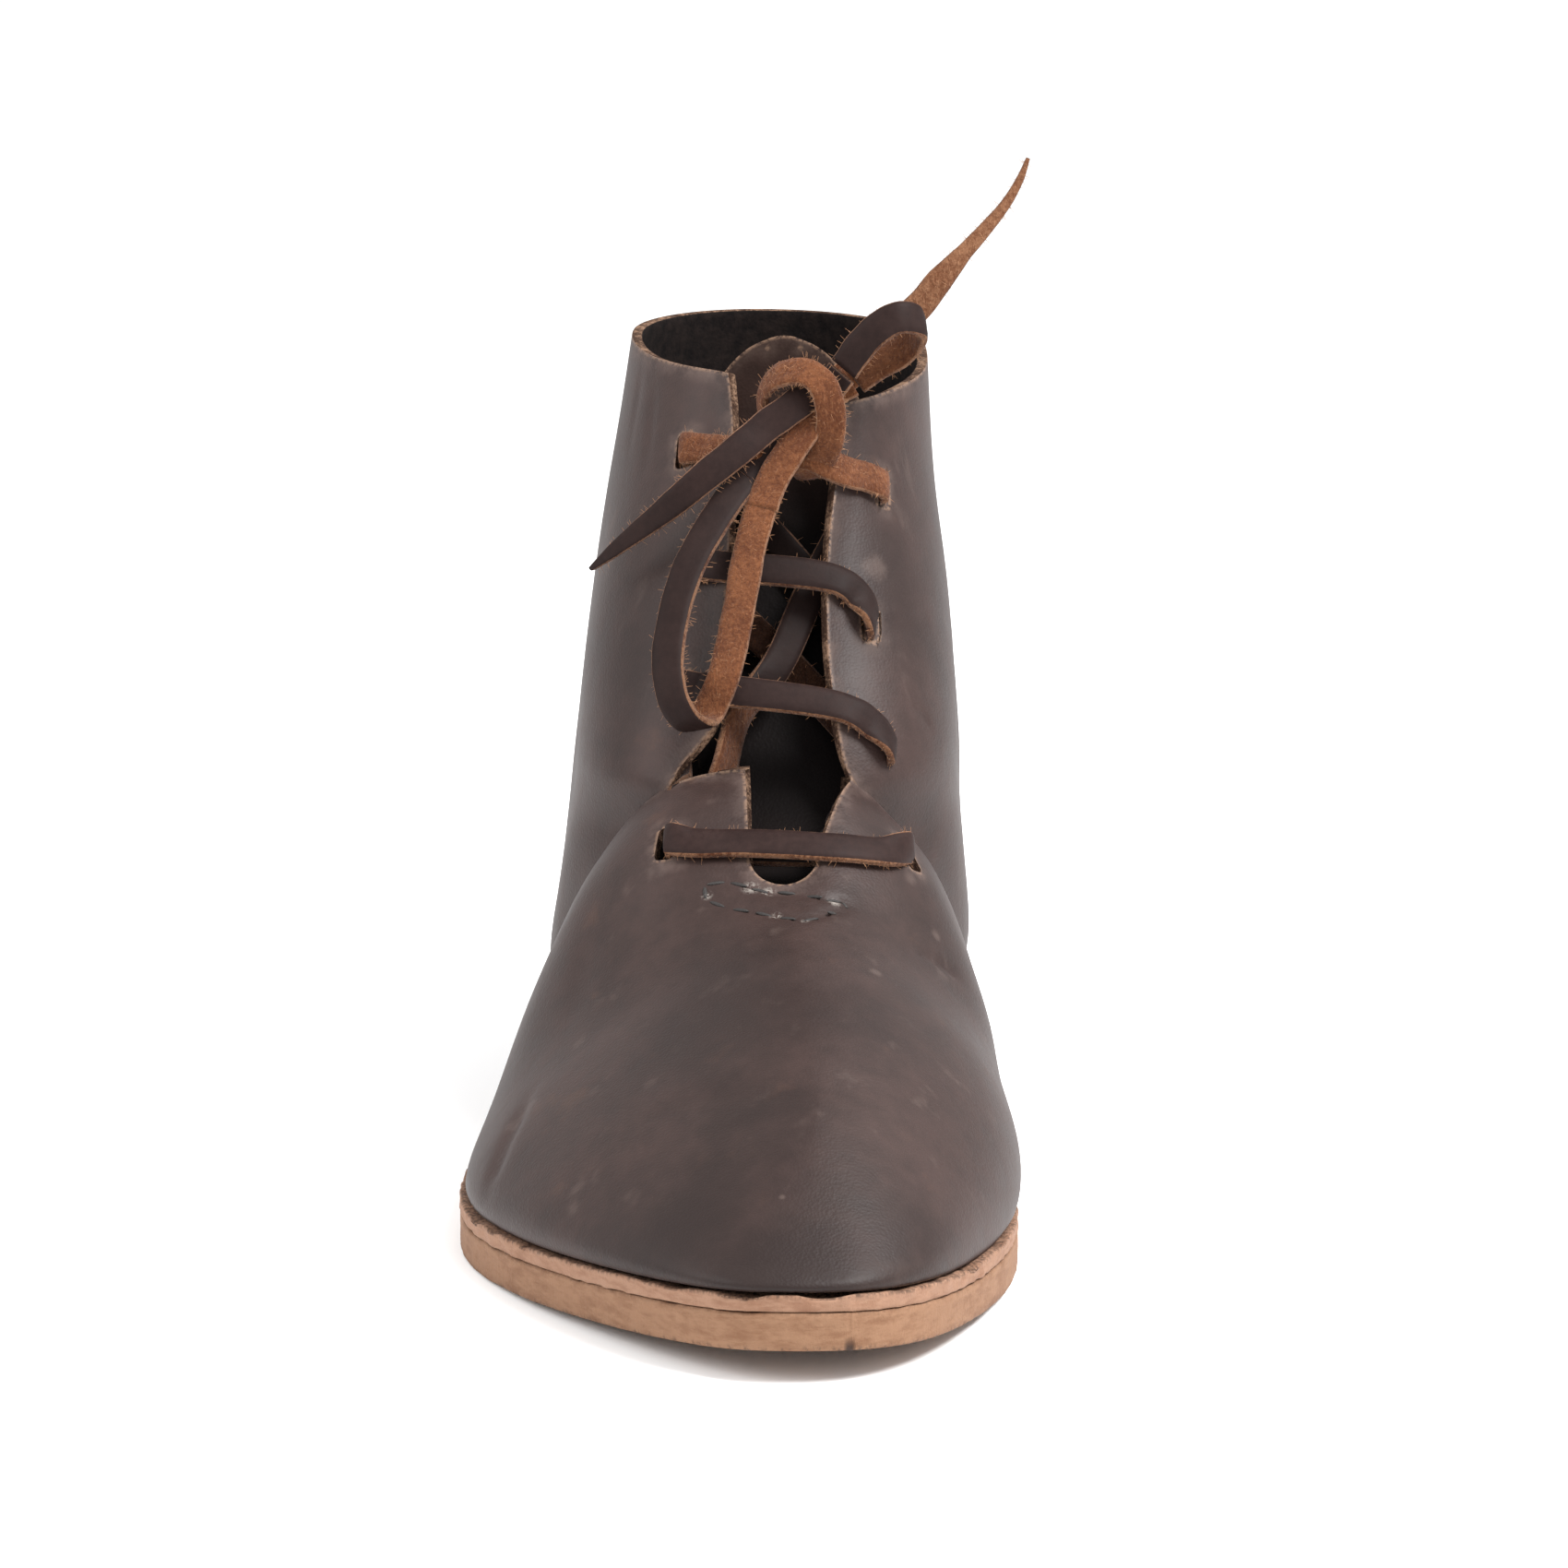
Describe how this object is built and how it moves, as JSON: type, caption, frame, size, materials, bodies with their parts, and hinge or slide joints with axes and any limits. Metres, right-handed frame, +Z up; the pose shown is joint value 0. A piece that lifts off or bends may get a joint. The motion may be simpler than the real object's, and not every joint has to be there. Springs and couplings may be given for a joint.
{
  "type": "medieval turnshoe boot",
  "caption": "Front-laced ankle boot of dark leather on a flat tan leather sole, open at the collar and throat, with a tongue and a leather lace tied in a bow.",
  "frame": {"origin": "on the ground under the middle of the sole's length, on the boot's long axis", "axes": "+X towards the medial side, +Y from toe to heel, +Z up"},
  "size_m": [0.1105, 0.284, 0.1984],
  "materials": {
    "sole_leather": "natural tan, brushed edge",
    "rand_leather": "reddish tan, torn upper edge",
    "insole_leather": "worn flesh side",
    "upper_leather": "dark chocolate, waxed satin",
    "tongue_leather": "dark chocolate, dull",
    "lace_leather": "dark grain side, tan cut edges",
    "lace_suede": "rust tan suede, flesh side out"
  },
  "bodies": {
    "root": {"outsole": "sole_leather", "rand": "rand_leather", "insole": "insole_leather", "upper": "upper_leather", "tongue": "tongue_leather", "lace_lacing": "lace_leather", "lace_knot": "lace_suede", "lace_loop_low": "lace_leather", "lace_loop_high": "lace_leather", "lace_end_low": "lace_leather", "lace_end_high": "lace_suede"}
  },
  "joints": []
}
